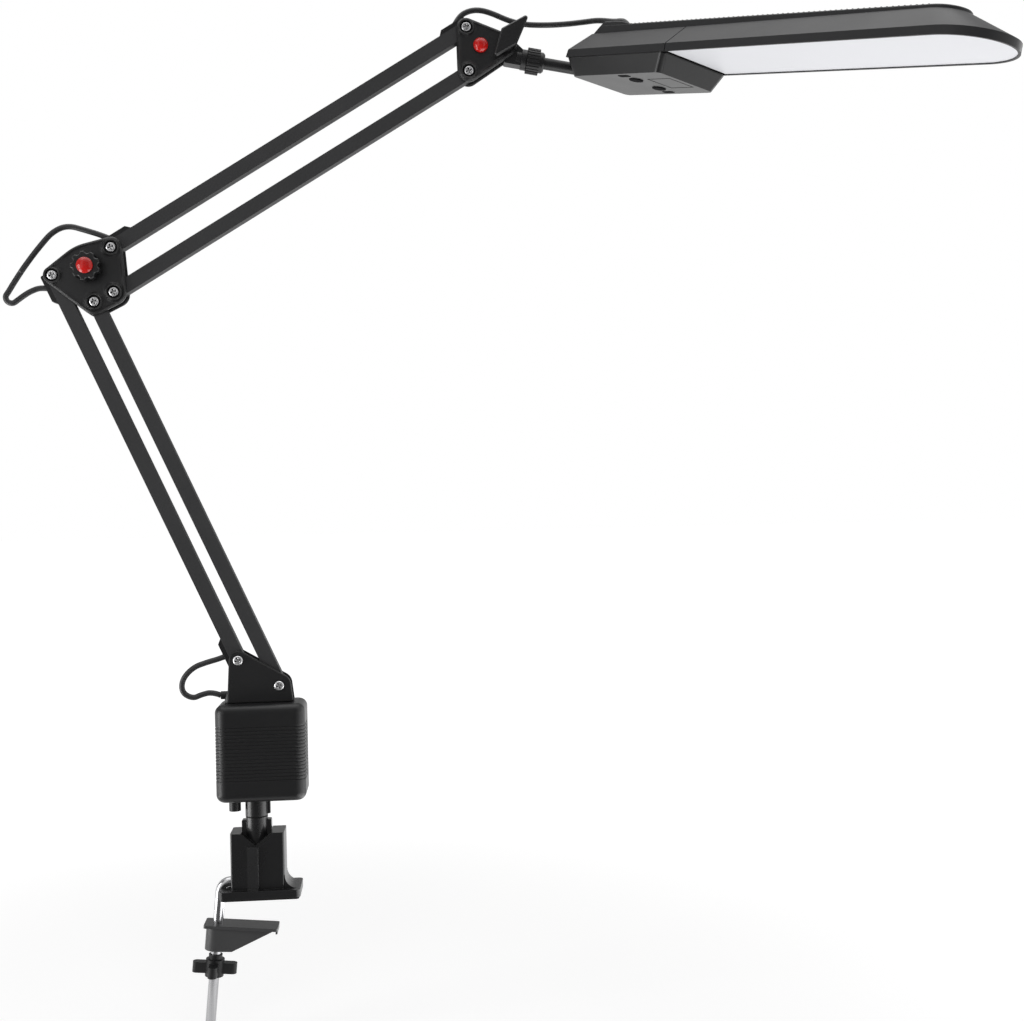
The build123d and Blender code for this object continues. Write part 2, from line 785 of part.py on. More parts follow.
# Head bracket plates and hardware
bracket_points = [head_top, head_bottom]
bracket_circles = [(*head_top, 8.5), (*head_bottom, 9.5), (*tilt, tilt_tip_radius)]
bracket_holes = [(*tilt, stud_radius + running_fit), (*cap_centre, screw_hole_radius)]
front_plate = arm_plane.location * moulded_plate(bracket_circles, bracket_points, bracket_holes)
pieces["bracket_front_plate"] = front_plate
pieces["bracket_rear_plate"] = mirror(front_plate, Plane.XZ)
pieces["bracket_screws"], pieces["bracket_sleeves"] = pivot_stacks(bracket_points, seat_level)
cap = dome(bracket_cap_radius, plate_outer, bracket_cap_height)
cap += rod(screw_hole_radius - 0.05, -plate_outer, plate_outer)
pieces["bracket_cap"] = side_plane(cap_centre).location * cap

# Wing lever, tilt stud and its nut
tilt_plane = side_plane(tilt)
lever_low = plate_outer + lever_stand_off + face_gap
leaf = extrude(Pos(0, 0, lever_low) * hull_face([(x, y, lever_corner) for x, y in lever_corners]), lever_thickness)
leaf = chamfer(leaf.faces().sort_by(Axis.Z)[-1].edges(), 1.2)
lever = leaf + rod(lever_hub_radius, plate_outer + face_gap, lever_low)
lever -= rod(stud_radius + 0.03, 0, lever_low + lever_thickness / 2)
pieces["wing_lever"] = tilt_plane.location * lever
stud_tail = -plate_outer - face_gap - stud_nut_height - 1
stud = rod(stud_radius, stud_tail, lever_low + lever_thickness / 2)
nut_low = -plate_outer - face_gap - stud_nut_height
stud_nut = hexagon(stud_nut_radius, stud_radius + 0.03, nut_low, -plate_outer - face_gap)
pieces["tilt_stud"] = group([tilt_plane.location * item for item in (stud, stud_nut)])

# Knuckle between the bracket plates
neck_plane = side_plane(tilt, -droop)
neck_end = collar_reach - socket_length
eye_face = hull_face([
    (0, 0, eye_radius),
    (neck_heel, -neck_drop - neck_radius + neck_edge, neck_edge),
    (neck_end, -neck_drop - neck_radius + neck_edge, neck_edge),
    (neck_end, -neck_drop + neck_radius - neck_edge, neck_edge),
])
eye = extrude(eye_face, knuckle_half, both=True)
toward_head = Vector(cos(radians(droop)), 0, -sin(radians(droop)))
across_head = Vector(sin(radians(droop)), 0, cos(radians(droop)))
joint_point = Vector(tilt[0], 0, tilt[1]) + toward_head * collar_reach - across_head * neck_drop
stem_plane = Plane(origin=joint_point, x_dir=across_head, z_dir=toward_head)
neck = rod(neck_radius, neck_start - collar_reach, -socket_length)
sleeve = rod(socket_radius, -socket_length, -collar_back - face_gap)
sleeve += rod(socket_radius - 1.5, -collar_back - 1, 0)
knuckle = stem_plane.location * (neck + sleeve)
beyond = neck_plane.location * slab(neck_end - 0.01, 3 * collar_reach, -collar_reach, collar_reach, -bar_depth, bar_depth)
knuckle += neck_plane.location * eye - beyond
knuckle -= neck_plane.location * rod(stud_radius + running_fit, -bar_depth, bar_depth)
knuckle -= stem_plane.location * rod(stem_radius + running_fit, -stem_spigot - 2 * face_gap, 1)
knuckle -= stem_plane.location * rod(stem_flange_radius + running_fit, -stem_flange_length - face_gap, 1)
pieces["knuckle"] = knuckle

# Ridged lock collar
collar_profile = Circle(collar_radius - 0.6)
for number in range(collar_ridges):
    turn = Rot(0, 0, 360 / collar_ridges * number)
    collar_profile += turn * Pos(collar_radius - 0.9, 0) * Rectangle(1.8, 1.5)
collar = extrude(Pos(0, 0, -collar_back) * collar_profile, collar_back + collar_front)
front_ring = rod(ring_radius, collar_front, collar_front + ring_length)
collar += chamfer(front_ring.edges().group_by(Axis.Z)[-1], 1.6)
collar -= rod(socket_radius - 1.5 + running_fit, -collar_back - 1, face_gap)
collar -= rod(stem_radius + collar_bore_gap, -collar_back, collar_front + ring_length + 1)
pieces["lock_collar"] = stem_plane.location * collar

# Head stem with the swivel eye
swivel_axis = across_head * cos(radians(head_lean)) - Vector(0, 1, 0) * sin(radians(head_lean))
pin = joint_point + toward_head * stem_length
eye_plane = Plane(origin=pin, x_dir=toward_head, z_dir=swivel_axis)
stem = rod(stem_radius, -stem_spigot, stem_length)
stem += rod(stem_flange_radius, -stem_flange_length, 0)
stem = stem_plane.location * stem
over_eye = eye_plane.location * slab(-stem_eye_radius, 30, -30, 30, stem_eye_height / 2, 30)
under_eye = eye_plane.location * slab(-stem_eye_radius, 30, -30, 30, -30, -stem_eye_height / 2)
stem = stem - over_eye - under_eye
stem += eye_plane.location * rod(stem_eye_radius, -stem_eye_height / 2, stem_eye_height / 2)
stem -= eye_plane.location * rod(swivel_radius + running_fit, -30, 30)
pieces["head_stem"] = stem

# Head frame: local x from rear to tip, local z up
sideways = swivel_axis.cross(toward_head)
tip_way = toward_head * cos(radians(head_turn)) - sideways * sin(radians(head_turn))
rear_point = pin - tip_way * pin_inset + swivel_axis * pin_drop
head_plane = Plane(origin=rear_point, x_dir=tip_way, z_dir=swivel_axis)
tip_centre = head_length - head_half
crest_centre = tip_centre - hood_tip_setback


def head_outline(start, half, level, centre=tip_centre):
    """The plan of the head at a level, straight sided with a round tip."""
    edges = [
        Line((start, half), (start, -half)),
        Line((start, -half), (centre, -half)),
        ThreePointArc((centre, -half), (centre + half, 0), (centre, half)),
        Line((centre, half), (start, half)),
    ]
    return Pos(0, 0, level) * make_face(edges)


def hood_body(inset, low):
    """The closed hood volume, shrunk by an inset on its top and sides."""
    start = -2 * head_half
    rim = head_outline(start, head_half - inset, low)
    body = extrude(rim, rim_height - low)
    shoulder = head_outline(start, head_half - inset, rim_height)
    top = head_outline(start, hood_top_half, hood_height - inset, crest_centre)
    body += loft([shoulder, top], ruled=True)
    behind = [
        (start - 1, -1),
        (inset, -1),
        (inset, 0),
        (inset + rear_rake, hood_height),
        (inset + rear_rake, hood_height + 1),
        (start - 1, hood_height + 1),
    ]
    return body - side_plane((0, 0)).location * prism(behind, -2 * head_half, 2 * head_half)


# Shade, rear cover and spine
hood = hood_body(0, 0) - hood_body(head_wall, -1)
rear_part = slab(-head_half, seam_at, -2 * head_half, 2 * head_half, -1, 2 * hood_height)
inner_half = head_half - head_wall
ledge = extrude(head_outline(seam_at, inner_half, ledge_height), ledge_depth)
ledge -= extrude(head_outline(seam_at + ledge_width, inner_half - ledge_width, ledge_height), ledge_depth)
seam = hood_body(0, 0) - hood_body(seam_depth, -1)
seam &= slab(seam_at, seam_at + seam_width, -2 * head_half, 2 * head_half, -1, 2 * hood_height)
spine_end = crest_centre + spine_half
spine = extrude(head_outline(spine_start, spine_half, hood_height, crest_centre), spine_height)
over_spine = [
    (spine_start, hood_height),
    (spine_peak, hood_height + spine_height),
    (spine_end, hood_height + spine_end_height),
    (spine_end, 2 * hood_height),
    (spine_start, 2 * hood_height),
]
spine -= arm_plane.location * prism(over_spine, -2 * spine_half, 2 * spine_half)
spine = chamfer(spine.faces().sort_by(Axis.Z)[-1].edges(), spine_edge)
gland_slope = (spine_height - spine_end_height) / (spine_end - spine_peak)
gland_level = hood_height + spine_height - gland_slope * (gland_at - spine_peak)
gland_way = (-sin(radians(gland_tilt)), 0, cos(radians(gland_tilt)))
gland_plane = Plane(origin=(gland_at, 0, gland_level), z_dir=gland_way)
gland = fillet(rod(gland_radius, -gland_sink, gland_proud).edges().group_by(Axis.Z)[-1], 1.0)
spine -= gland_plane.location * rod(gland_radius + 0.05, -gland_sink, 2 * spine_height)
pieces["rear_cover"] = head_plane.location * (hood & rear_part)
pieces["shade"] = head_plane.location * (hood - rear_part - seam + ledge)
pieces["spine"] = head_plane.location * spine
pieces["head_cord_gland"] = head_plane.location * (gland_plane.location * gland)

# Diffuser and LED board
panel = head_outline(seam_at + 0.3, inner_half - 0.1, ledge_height - diffuser_thickness)
pieces["diffuser"] = head_plane.location * extrude(panel, diffuser_thickness)
led_level = hood_height - head_wall
led_board = slab(
    seam_at + led_board_inset,
    crest_centre,
    -led_board_half,
    led_board_half,
    led_level - board_thickness,
    led_level,
)
pieces["led_board"] = head_plane.location * led_board


def cover_body(inset, low, high):
    """The base cover volume between two levels, shrunk by an inset on its sides."""
    sections = []
    for level in (low, high):
        share = -level / cover_depth
        start = share * cover_bottom_start + inset
        finish = seam_at + share * (cover_bottom_end - seam_at) - inset
        half = head_half + share * (cover_bottom_half - head_half) - inset
        plan = RectangleRounded(finish - start, 2 * half, cover_corner - inset / 2)
        sections.append(Pos((start + finish) / 2, 0, level) * plan)
    return loft(sections, ruled=True)


# Base cover under the rear of the head
floor_level = cover_wall - cover_depth
cover = cover_body(0, -cover_depth, 0) - cover_body(cover_wall, floor_level, 0)
cover -= cover_body(0, -seam_width, 0) - cover_body(seam_depth, -seam_width, 0)
reach = pin_inset + 3 * stem_radius
half_slot = stem_radius + face_gap
away = Vector(-cos(radians(swivel_reach)), sin(radians(swivel_reach)))
outward = Vector(sin(radians(swivel_reach)), cos(radians(swivel_reach)))
near = Vector(pin_inset, 0) + outward * half_slot
far = near + away * 2 * reach
slot_plan = [(near.X, near.Y), (far.X, far.Y), (far.X, -far.Y), (near.X, -near.Y)]
stem_slot = prism(slot_plan, -pin_drop - half_slot, slot_top)
stem_slot += rod(stem_eye_radius + 2 * face_gap, -pin_drop - half_slot, slot_top, pin_inset)
cover -= stem_slot
swivel_seat = -pin_drop - stem_eye_height / 2 - face_gap / 2
cover += rod(stem_eye_radius, floor_level - 0.1, swivel_seat, pin_inset)
cover -= rod(swivel_radius - 0.5, floor_level, swivel_seat + 1, pin_inset)
for x, y in button_at:
    cover -= rod(button_radius + loose_fit, -cover_depth - 1, floor_level + 1, x, y)
for x, y in slit_at:
    cover -= Pos(x, y, -cover_depth) * Box(slit_length, slit_width, 3 * cover_wall)
cover -= slab(
    access_start - access_gap,
    access_end + access_gap,
    -access_half - access_gap,
    access_half + access_gap,
    -cover_depth - 1,
    access_thickness - cover_depth,
)
post_plan = [
    (x, y)
    for x in (switch_board_start + 4, switch_board_end - 4)
    for y in (4 - switch_board_half, switch_board_half - 4)
]
for x, y in post_plan:
    cover += rod(post_radius, floor_level - 0.1, switch_board_level, x, y)
pieces["base_cover"] = head_plane.location * cover
access = slab(access_start, access_end, -access_half, access_half, -cover_depth, access_thickness - cover_depth)
pieces["access_plate"] = head_plane.location * access

# Swivel screw through the stem eye
swivel = rod(swivel_radius, swivel_seat, -pin_drop + stem_eye_height / 2 + face_gap / 2, pin_inset)
swivel += rod(swivel_radius - 0.53, floor_level + 0.2, swivel_seat, pin_inset)
swivel_top = -pin_drop + stem_eye_height / 2 + face_gap / 2
swivel += rod(swivel_head_radius, swivel_top, swivel_top + swivel_head_height, pin_inset)
pieces["swivel_screw"] = head_plane.location * swivel

# Switch board and push buttons
switch_board = slab(
    switch_board_start,
    switch_board_end,
    -switch_board_half,
    switch_board_half,
    switch_board_level,
    switch_board_level + board_thickness,
)
pieces["switch_board"] = head_plane.location * switch_board
for name, (x, y) in zip(("button_a", "button_b"), button_at):
    bottom = -cover_depth - button_proud
    button = fillet(rod(button_radius, bottom, bottom + button_height, x, y).edges().group_by(Axis.Z)[0], 0.6)
    flange = floor_level + 0.1
    button += rod(button_radius + button_flange, flange, flange + button_flange_height, x, y)
    pieces[name] = head_plane.location * button

# Cord loops
def on_side(plane, x, y):
    """A point of the arm plane from plane coordinates."""
    point = plane.from_local_coords((x, y, 0))
    return point.X, point.Y, point.Z


def in_head(x, y, z):
    """A point in the head frame."""
    point = head_plane.from_local_coords((x, y, z))
    return point.X, point.Y, point.Z


def midway(a, b):
    """The middle of two points."""
    return tuple((p + q) / 2 for p, q in zip(a, b))


def clip_with_sockets(name, plane, length, ends):
    """The two clips of a bar with a round seat for each cord end."""
    clips = [plane.location * clip for clip in cable_clips(length)]
    for start, following in ends:
        way = Vector(*following) - Vector(*start)
        seat = Plane(origin=start, z_dir=way).location * rod(cord_radius + socket_gap, 0, socket_reach * way.length)
        clips = [clip - seat for clip in clips]
    pieces[name] = group(clips)


def split_route(name, route, cuts):
    """Cord stretches of one route, meeting in the middle of the run after each cut."""
    first, stretch = 0, []
    for number, cut in enumerate(cuts):
        meet = midway(route[cut], route[cut + 1])
        pieces[f"{name}_{number + 1}"] = tube(f"{name}_{number + 1}", stretch + route[first : cut + 1] + [meet])
        first, stretch = cut + 1, [meet]
    number = len(cuts) + 1
    pieces[f"{name}_{number}"] = tube(f"{name}_{number}", stretch + route[first:])


base_loop = [
    (base_gland_at - nozzle_reach, 0, box_top + nozzle_level),
    (-43.5, 0, box_top + nozzle_level),
    (-56.0, 0, 177.8),
    (-63.6, 0, 186.7),
    (-58.0, 0, 198.0),
    (-45.5, 0, 205.2),
    (-33.0, 0, 210.0),
    on_side(lower_plane, 7.5, 7.0),
]
elbow_loop = [
    on_side(lower_plane, lower_length - 9.0, 6.5),
    (-181.0, 0, 543.2),
    (-191.5, 0, 538.3),
    (-200.8, 0, 530.9),
    (-207.2, 0, 532.7),
    (-208.8, 0, 539.3),
    (-202.8, 0, 550.0),
    (-193.4, 0, 563.6),
    (-181.5, 0, 578.0),
    (-166.4, 0, 590.9),
    (-152.0, 0, 596.6),
    (-137.0, 0, 594.8),
    (-124.5, 0, 589.4),
    on_side(upper_plane, 5.0, 6.0),
]
dip_level = gland_proud + cord_dip
head_loop = [
    on_side(upper_plane, upper_length - 7.0, 8.6),
    (195.4, 0, 786.4),
    (203.8, 0, 791.3),
    (213.5, 0, 792.6),
    (224.5, 0, 789.9),
    (239.5, 0, 783.3),
    (253.5, 0, 779.6),
    (273.6, 0, 779.2),
    (292.9, 0, 780.4),
    (310.0, 0, 782.6),
    (322.5, -1.5, 783.9),
    in_head(10.0, 1.2, cord_over_head),
    in_head(19.5, 0.2, cord_over_head),
    in_head(gland_at + gland_way[0] * dip_level, 0.0, gland_level + gland_way[2] * dip_level),
    in_head(gland_at + gland_way[0] * gland_proud, 0.0, gland_level + gland_way[2] * gland_proud),
]
pieces["cord_base_loop"] = tube("cord_base_loop", base_loop)
split_route("cord_elbow", elbow_loop, [6])
split_route("cord_head", head_loop, [4, 7, 9])
clip_with_sockets("lower_clips", lower_plane, lower_length, [(base_loop[-1], base_loop[-2]), elbow_loop[:2]])
clip_with_sockets("upper_clips", upper_plane, upper_length, [(elbow_loop[-1], elbow_loop[-2]), head_loop[:2]])

# Write one STEP file for each node
os.makedirs("parts", exist_ok=True)
for name, piece in pieces.items():
    export_step(piece, f"parts/{name}.step")
print(f"{len(pieces)} nodes")
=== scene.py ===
"""Looks for the clamp-on desk lamp: materials, cords, head trim, camera, stage and light."""
import json
import math

import bpy
from mathutils import Matrix, Vector


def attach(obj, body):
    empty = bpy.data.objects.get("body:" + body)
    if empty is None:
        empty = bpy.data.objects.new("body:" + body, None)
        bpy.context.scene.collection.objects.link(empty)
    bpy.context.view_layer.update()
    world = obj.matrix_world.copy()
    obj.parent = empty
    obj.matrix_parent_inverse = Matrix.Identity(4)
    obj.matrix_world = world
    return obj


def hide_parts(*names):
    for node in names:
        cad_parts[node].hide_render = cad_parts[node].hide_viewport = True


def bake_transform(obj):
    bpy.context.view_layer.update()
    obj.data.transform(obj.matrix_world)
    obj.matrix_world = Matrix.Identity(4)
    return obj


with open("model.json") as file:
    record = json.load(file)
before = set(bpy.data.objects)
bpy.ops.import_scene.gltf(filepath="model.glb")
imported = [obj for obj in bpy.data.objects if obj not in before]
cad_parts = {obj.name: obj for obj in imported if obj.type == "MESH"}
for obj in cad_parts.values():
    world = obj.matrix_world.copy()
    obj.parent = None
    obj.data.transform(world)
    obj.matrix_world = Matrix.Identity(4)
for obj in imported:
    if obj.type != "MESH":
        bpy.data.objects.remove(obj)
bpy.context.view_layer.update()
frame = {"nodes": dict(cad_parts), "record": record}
nodes = frame["nodes"]
scene = bpy.context.scene
mm = 0.001

# Materials
patch_scale, patch_detail, grain_detail = 18.0, 6.0, 2.0
tone_low, tone_high = 0.25, 0.75
gloss_spread, least_roughness = 0.06, 0.02
grain_depth = 0.0002
shading_samples = 4
# Lighter edges, partly edge wear and partly painted highlight: where they start and are full, and how
# much lighter
wear_and_highlight_start, wear_and_highlight_full, wear_and_highlight_gain = 0.01, 0.2, 4
# Painted shade in crevices: how far it reaches, where it starts and is full, and how dark it gets
crevice_reach = 1.5 * mm
crevice_start, crevice_full, crevice_shade_share = 0.9, 0.5, 0.05
mix_share, mix_first, mix_second, mix_result = 0, 6, 7, 2  # sockets of a colour mix


def ranged(tree, socket, source=(0.0, 1.0), result=(0.0, 1.0), smooth=False):
    """A socket's value, taken from one range to another."""
    node = tree.nodes.new("ShaderNodeMapRange")
    if smooth:
        node.interpolation_type = "SMOOTHSTEP"
    node.inputs["From Min"].default_value, node.inputs["From Max"].default_value = source
    node.inputs["To Min"].default_value, node.inputs["To Max"].default_value = result
    tree.links.new(socket, node.inputs["Value"])
    return node.outputs["Result"]


def combined(tree, operation, first, second):
    """Two sockets' values put together by a math operation."""
    node = tree.nodes.new("ShaderNodeMath")
    node.operation = operation
    tree.links.new(first, node.inputs[0])
    tree.links.new(second, node.inputs[1])
    return node.outputs[0]


def mixed(tree, share, paint, colour):
    """A paint socket with a share of a plain colour over it."""
    node = tree.nodes.new("ShaderNodeMix")
    node.data_type = "RGBA"
    node.inputs[mix_second].default_value = [*colour, 1]
    tree.links.new(share, node.inputs[mix_share])
    tree.links.new(paint, node.inputs[mix_first])
    return node.outputs[mix_result]


def material(
    name,
    colour,
    roughness,
    metallic=0.0,
    specular=0.5,
    speckle=0.1,
    grain=1500.0,
    bump=0.1,
    edge=0.5,
    wear_and_highlight=0.0,
    crevice_shade=0.0,
    squeeze=(1.0, 1.0, 1.0),
):
    """A surface with uneven tone and gloss, a fine bump, soft edges, lighter edges that are partly edge
    wear and partly painted highlight, and painted shade in crevices.
    """
    mat = bpy.data.materials.new(name)
    mat.use_nodes = True
    tree = mat.node_tree
    new, link = tree.nodes.new, tree.links.new
    shader = tree.nodes["Principled BSDF"]
    shader.inputs["Metallic"].default_value = metallic
    shader.inputs["Specular IOR Level"].default_value = specular
    place = new("ShaderNodeTexCoord")
    stretch = new("ShaderNodeMapping")
    stretch.inputs["Scale"].default_value = squeeze
    link(place.outputs["Object"], stretch.inputs["Vector"])
    broad = new("ShaderNodeTexNoise")
    fine = new("ShaderNodeTexNoise")
    for noise, scale, detail in ((broad, patch_scale, patch_detail), (fine, grain, grain_detail)):
        noise.inputs["Scale"].default_value = scale
        noise.inputs["Detail"].default_value = detail
        link(stretch.outputs["Vector"], noise.inputs["Vector"])

    tone = new("ShaderNodeValToRGB")
    low, high = tone.color_ramp.elements
    low.position, high.position = tone_low, tone_high
    low.color = [c * (1 - speckle) for c in colour] + [1]
    high.color = [min(1.0, c * (1 + speckle)) for c in colour] + [1]
    link(broad.outputs["Fac"], tone.inputs["Fac"])
    paint = tone.outputs["Color"]

    soft = new("ShaderNodeBevel")
    soft.samples = shading_samples
    soft.inputs["Radius"].default_value = edge * mm
    # Lighter edges, partly edge wear and partly painted highlight: the colour lightens where the
    # softened normal turns away from the true one
    if wear_and_highlight:
        true = new("ShaderNodeNewGeometry")
        bend = new("ShaderNodeVectorMath")
        bend.operation = "DOT_PRODUCT"
        link(soft.outputs["Normal"], bend.inputs[0])
        link(true.outputs["Normal"], bend.inputs[1])
        corner = ranged(tree, bend.outputs["Value"], (1 - wear_and_highlight_start, 1 - wear_and_highlight_full), (0.0, wear_and_highlight))
        wear_and_highlight_share = combined(tree, "MULTIPLY", corner, fine.outputs["Fac"])
        paint = mixed(tree, wear_and_highlight_share, paint, [min(1.0, wear_and_highlight_gain * c) for c in colour])
    # Painted shade: the colour darkens in crevices and recesses, where ambient occlusion finds close
    # surfaces
    if crevice_shade:
        crevice = new("ShaderNodeAmbientOcclusion")
        crevice.samples = shading_samples
        crevice.inputs["Distance"].default_value = crevice_reach
        depth = ranged(tree, crevice.outputs["AO"], (crevice_start, crevice_full), (0.0, crevice_shade))
        paint = mixed(tree, depth, paint, [crevice_shade_share * c for c in colour])
    link(paint, shader.inputs["Base Color"])

    gloss_range = (max(least_roughness, roughness - gloss_spread), roughness + gloss_spread)
    gloss = ranged(tree, broad.outputs["Fac"], result=gloss_range)
    link(gloss, shader.inputs["Roughness"])
    relief = new("ShaderNodeBump")
    relief.inputs["Strength"].default_value = bump
    relief.inputs["Distance"].default_value = grain_depth
    link(fine.outputs["Fac"], relief.inputs["Height"])
    link(soft.outputs["Normal"], relief.inputs["Normal"])
    link(relief.outputs["Normal"], shader.inputs["Normal"])
    return mat


looks = {
    "black_paint": material("black_paint", (0.011, 0.011, 0.0115), 0.42, specular=0.3, wear_and_highlight=0.3),
    "black_moulding": material("black_moulding", (0.008, 0.008, 0.0085), 0.38, specular=0.4, wear_and_highlight=0.2),
    "shade_grey": material(
        "shade_grey", (0.022, 0.022, 0.023), 0.40, specular=0.25, speckle=0.05, bump=0.12, wear_and_highlight=0.2
    ),
    "red_cap": material("red_cap", (0.46, 0.009, 0.007), 0.14, specular=0.4, speckle=0.05, bump=0.005),
    # The screws get painted shade in their cross recesses
    "bright_steel": material(
        "bright_steel", (0.86, 0.86, 0.87), 0.3, metallic=1.0, speckle=0.05, bump=0.03, crevice_shade=1.0
    ),
    "rod_steel": material(
        "rod_steel",
        (0.50, 0.50, 0.51),
        0.22,
        metallic=1.0,
        speckle=0.25,
        bump=0.05,
        squeeze=(10, 10, 0.3),
    ),
    "jaw_grey": material("jaw_grey", (0.048, 0.048, 0.049), 0.34, specular=0.45, wear_and_highlight=0.3),
    "opal_panel": material("opal_panel", (0.735, 0.74, 0.77), 0.4, speckle=0.01, grain=900, bump=0.05),
    "board_green": material("board_green", (0.03, 0.16, 0.07), 0.5, speckle=0.2),
    "pad_rubber": material("pad_rubber", (0.014, 0.014, 0.014), 0.8, specular=0.15, bump=0.2),
    "cord_black": material("cord_black", (0.018, 0.018, 0.019), 0.42, grain=2500, bump=0.08),
}
bar_paint = material("bar_paint", (0.034, 0.034, 0.035), 0.5, specular=0.2, bump=0.08, wear_and_highlight=0.08)
gloss_paint = material("gloss_paint", (0.009, 0.009, 0.0095), 0.28, wear_and_highlight=0.2)
plate_moulding = material("plate_moulding", (0.010, 0.010, 0.0105), 0.34, edge=4.0)
cover_grey = material("cover_grey", (0.010, 0.010, 0.0105), 0.30, specular=0.4, speckle=0.05, wear_and_highlight=0.2)
button_black = material("button_black", (0.008, 0.008, 0.0085), 0.85, specular=0.05, bump=0.2)
special_looks = {
    "lower_rear_bar": bar_paint,
    "lower_front_bar": bar_paint,
    "upper_top_bar": bar_paint,
    "upper_bottom_bar": bar_paint,
    "base_stem": gloss_paint,
    "clamp_body": gloss_paint,
    "elbow_front_plate": plate_moulding,
    "elbow_rear_plate": plate_moulding,
    "bracket_front_plate": plate_moulding,
    "bracket_rear_plate": plate_moulding,
    "base_cover": cover_grey,
    "access_plate": cover_grey,
    "button_a": button_black,
    "button_b": button_black,
}
for part in frame["record"]["subparts"]:
    mesh = nodes[part["node"]].data
    mesh.materials.clear()
    mesh.materials.append(special_looks.get(part["node"], looks[part["material_slot"]]))


# New pieces
def add_mesh(name, verts, faces, slot):
    """A new piece from mesh data, with the look of its slot."""
    mesh = bpy.data.meshes.new(name)
    mesh.from_pydata([tuple(v) for v in verts], [], faces)
    mesh.materials.append(looks[slot])
    obj = bpy.data.objects.new(name, mesh)
    scene.collection.objects.link(obj)
    return obj


def loft(sections):
    """Points and faces of a closed body through sections with the same number of points."""
    count = len(sections[0])
    verts = [v for section in sections for v in section]
    faces = [tuple(reversed(range(count))), tuple(range(len(verts) - count, len(verts)))]
    for start in range(0, len(verts) - count, count):
        for step in range(count):
            a = start + step
            b = start + (step + 1) % count
            faces.append((a, b, b + count, a + count))
    return verts, faces


def joined(bodies):
    """Points and faces of several lofted bodies as one mesh."""
    verts, faces = [], []
    for sections in bodies:
        more_verts, more_faces = loft(sections)
        faces += [tuple(v + len(verts) for v in face) for face in more_faces]
        verts += more_verts
    return verts, faces


# Cords
cord_radius = 2.5 * mm
cord_sides = 20
spline_resolution = 12


def point(x, z, y=0.0):
    return Vector((x * mm, y * mm, z * mm))


def route_points(points):
    """Points along a smooth spline through the route, read from the spline itself."""
    data = bpy.data.curves.new("route", "CURVE")
    data.dimensions = "3D"
    data.resolution_u = spline_resolution
    spline = data.splines.new("NURBS")
    spline.points.add(len(points) - 1)
    for control, place in zip(spline.points, points):
        control.co = (*place, 1.0)
    spline.order_u = 3
    spline.use_endpoint_u = True
    holder = bpy.data.objects.new("route", data)
    scene.collection.objects.link(holder)
    bpy.context.view_layer.update()
    mesh = bpy.data.meshes.new_from_object(holder)
    line = [v.co.copy() for v in mesh.vertices]
    bpy.data.objects.remove(holder)
    bpy.data.meshes.remove(mesh)
    return line


def tube(name, line):
    """A closed round tube along a line, smooth but for its flat ends."""
    ways = []
    for number in range(len(line)):
        before = line[max(number - 1, 0)]
        after = line[min(number + 1, len(line) - 1)]
        ways.append((after - before).normalized())
    angles = [2 * math.pi * step / cord_sides for step in range(cord_sides)]
    side = ways[0].orthogonal().normalized()
    rings = []
    for place, way in zip(line, ways):
        side = (side - way * side.dot(way)).normalized()
        other = way.cross(side)
        rings.append([place + (side * math.cos(a) + other * math.sin(a)) * cord_radius for a in angles])
    obj = add_mesh(name, *loft(rings), "cord_black")
    for face in obj.data.polygons:
        face.use_smooth = len(face.vertices) < cord_sides
    return obj


def cord(node, points):
    """A cord stretch that stands for its CAD node, which is hidden, and spans one joint."""
    line = route_points(points)
    obj = tube(f"sheath_{node}", line)
    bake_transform(obj)
    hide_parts(node)


cord(
    "cord_base_loop",
    [
        point(-29.3, 179.1),
        point(-37.0, 182.2),
        point(-46.5, 180.2),
        point(-54.0, 176.9),
        point(-63.5, 182.4),
        point(-63.2, 194.0),
        point(-53.5, 204.6),
        point(-40.5, 209.0),
        point(-30.0, 211.6),
        point(-22.21, 214.57),
    ],
)
cord(
    "cord_elbow_1",
    [
        point(-168.71, 541.77),
        point(-177.5, 543.4),
        point(-186.5, 540.2),
        point(-192.8, 536.3),
        point(-198.4, 532.1),
        point(-202.4, 529.1),
        point(-207.3, 530.6),
        point(-209.0, 535.4),
        point(-206.0, 539.6),
        point(-201.2, 547.6),
        point(-195.3, 556.6),
    ],
)
cord(
    "cord_elbow_2",
    [
        point(-195.3, 556.6),
        point(-189.6, 565.0),
        point(-178.0, 580.0),
        point(-167.0, 592.6),
        point(-154.0, 598.0),
        point(-138.5, 593.4),
        point(-125.0, 589.2),
        point(-114.52, 584.68),
    ],
)
cord(
    "cord_head_1",
    [
        point(190.65, 777.55),
        point(195.4, 786.4),
        point(203.8, 791.3),
        point(213.5, 792.6),
        point(224.5, 789.9),
        point(232.0, 786.6),
    ],
)
cord(
    "cord_head_2",
    [
        point(232.0, 786.6),
        point(239.5, 783.3),
        point(253.5, 779.6),
        point(273.6, 779.2),
        point(283.25, 779.8),
    ],
)
cord(
    "cord_head_3",
    [
        point(283.25, 779.8),
        point(292.9, 780.4),
        point(310.0, 782.6),
        point(316.25, 783.25, -0.75),
    ],
)
cord(
    "cord_head_4",
    [
        point(316.25, 783.25, -0.75),
        point(322.5, 783.9, -1.5),
        point(336.44, 780.88, -6.18),
        point(341.32, 778.88, -14.14),
        point(344.69, 775.98, -18.91),
        point(347.05, 770.29, -22.24),
    ],
)

# Head trim, in mm along the head, across it and up from its origin
head_origin = Vector((322.855, 6.945, 742.474))
head_along = Vector((0.5973, -0.77271, -0.21484))
head_across = Vector((0.78585, 0.61739, -0.0357))
head_up = Vector((0.16022, -0.14751, 0.976))
spine_peak, spine_peak_level = 15.0, 32.9
spine_end, spine_end_level = 368.05, 28.2


def on_head(along, across, up):
    return (head_origin + head_along * along + head_across * across + head_up * up) * mm


def spine_level(along):
    """Height of the spine's top."""
    share = (along - spine_peak) / (spine_end - spine_peak)
    return spine_peak_level + share * (spine_end_level - spine_peak_level)


